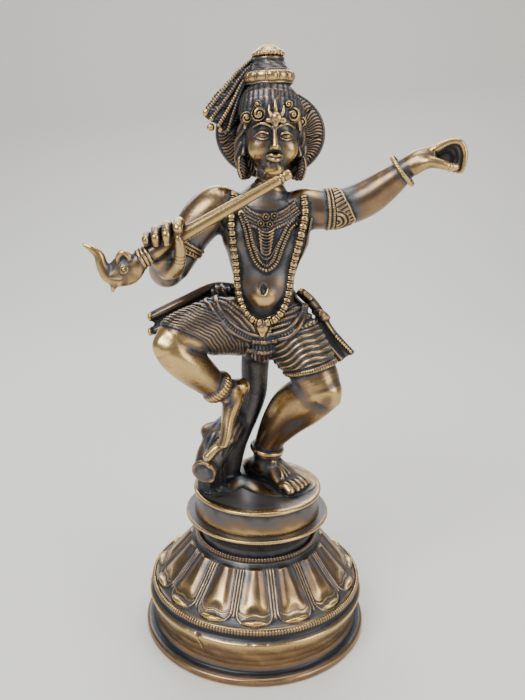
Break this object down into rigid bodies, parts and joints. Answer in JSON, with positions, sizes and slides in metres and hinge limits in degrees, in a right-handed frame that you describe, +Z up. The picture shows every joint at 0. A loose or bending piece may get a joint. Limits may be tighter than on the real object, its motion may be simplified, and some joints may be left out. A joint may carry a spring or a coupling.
{
  "type": "dancing figure statue on a lotus pedestal",
  "caption": "Cast brass statue of a dancing flute player in a crown and pleated dhoti, on a round lotus pedestal with a plain drum foot.",
  "frame": {"origin": "centre of the pedestal's flat underside", "axes": "+Z up along the pedestal's axis, the figure faces -Y, its left arm reaches out towards +X"},
  "size_m": [0.1716, 0.12, 0.2984],
  "materials": {
    "antique_brass": "antique dark patina in the recesses, worn bright on the raised parts"
  },
  "bodies": {
    "root": {"krishna_figure": "antique_brass", "lotus_pedestal": "antique_brass"}
  },
  "joints": []
}
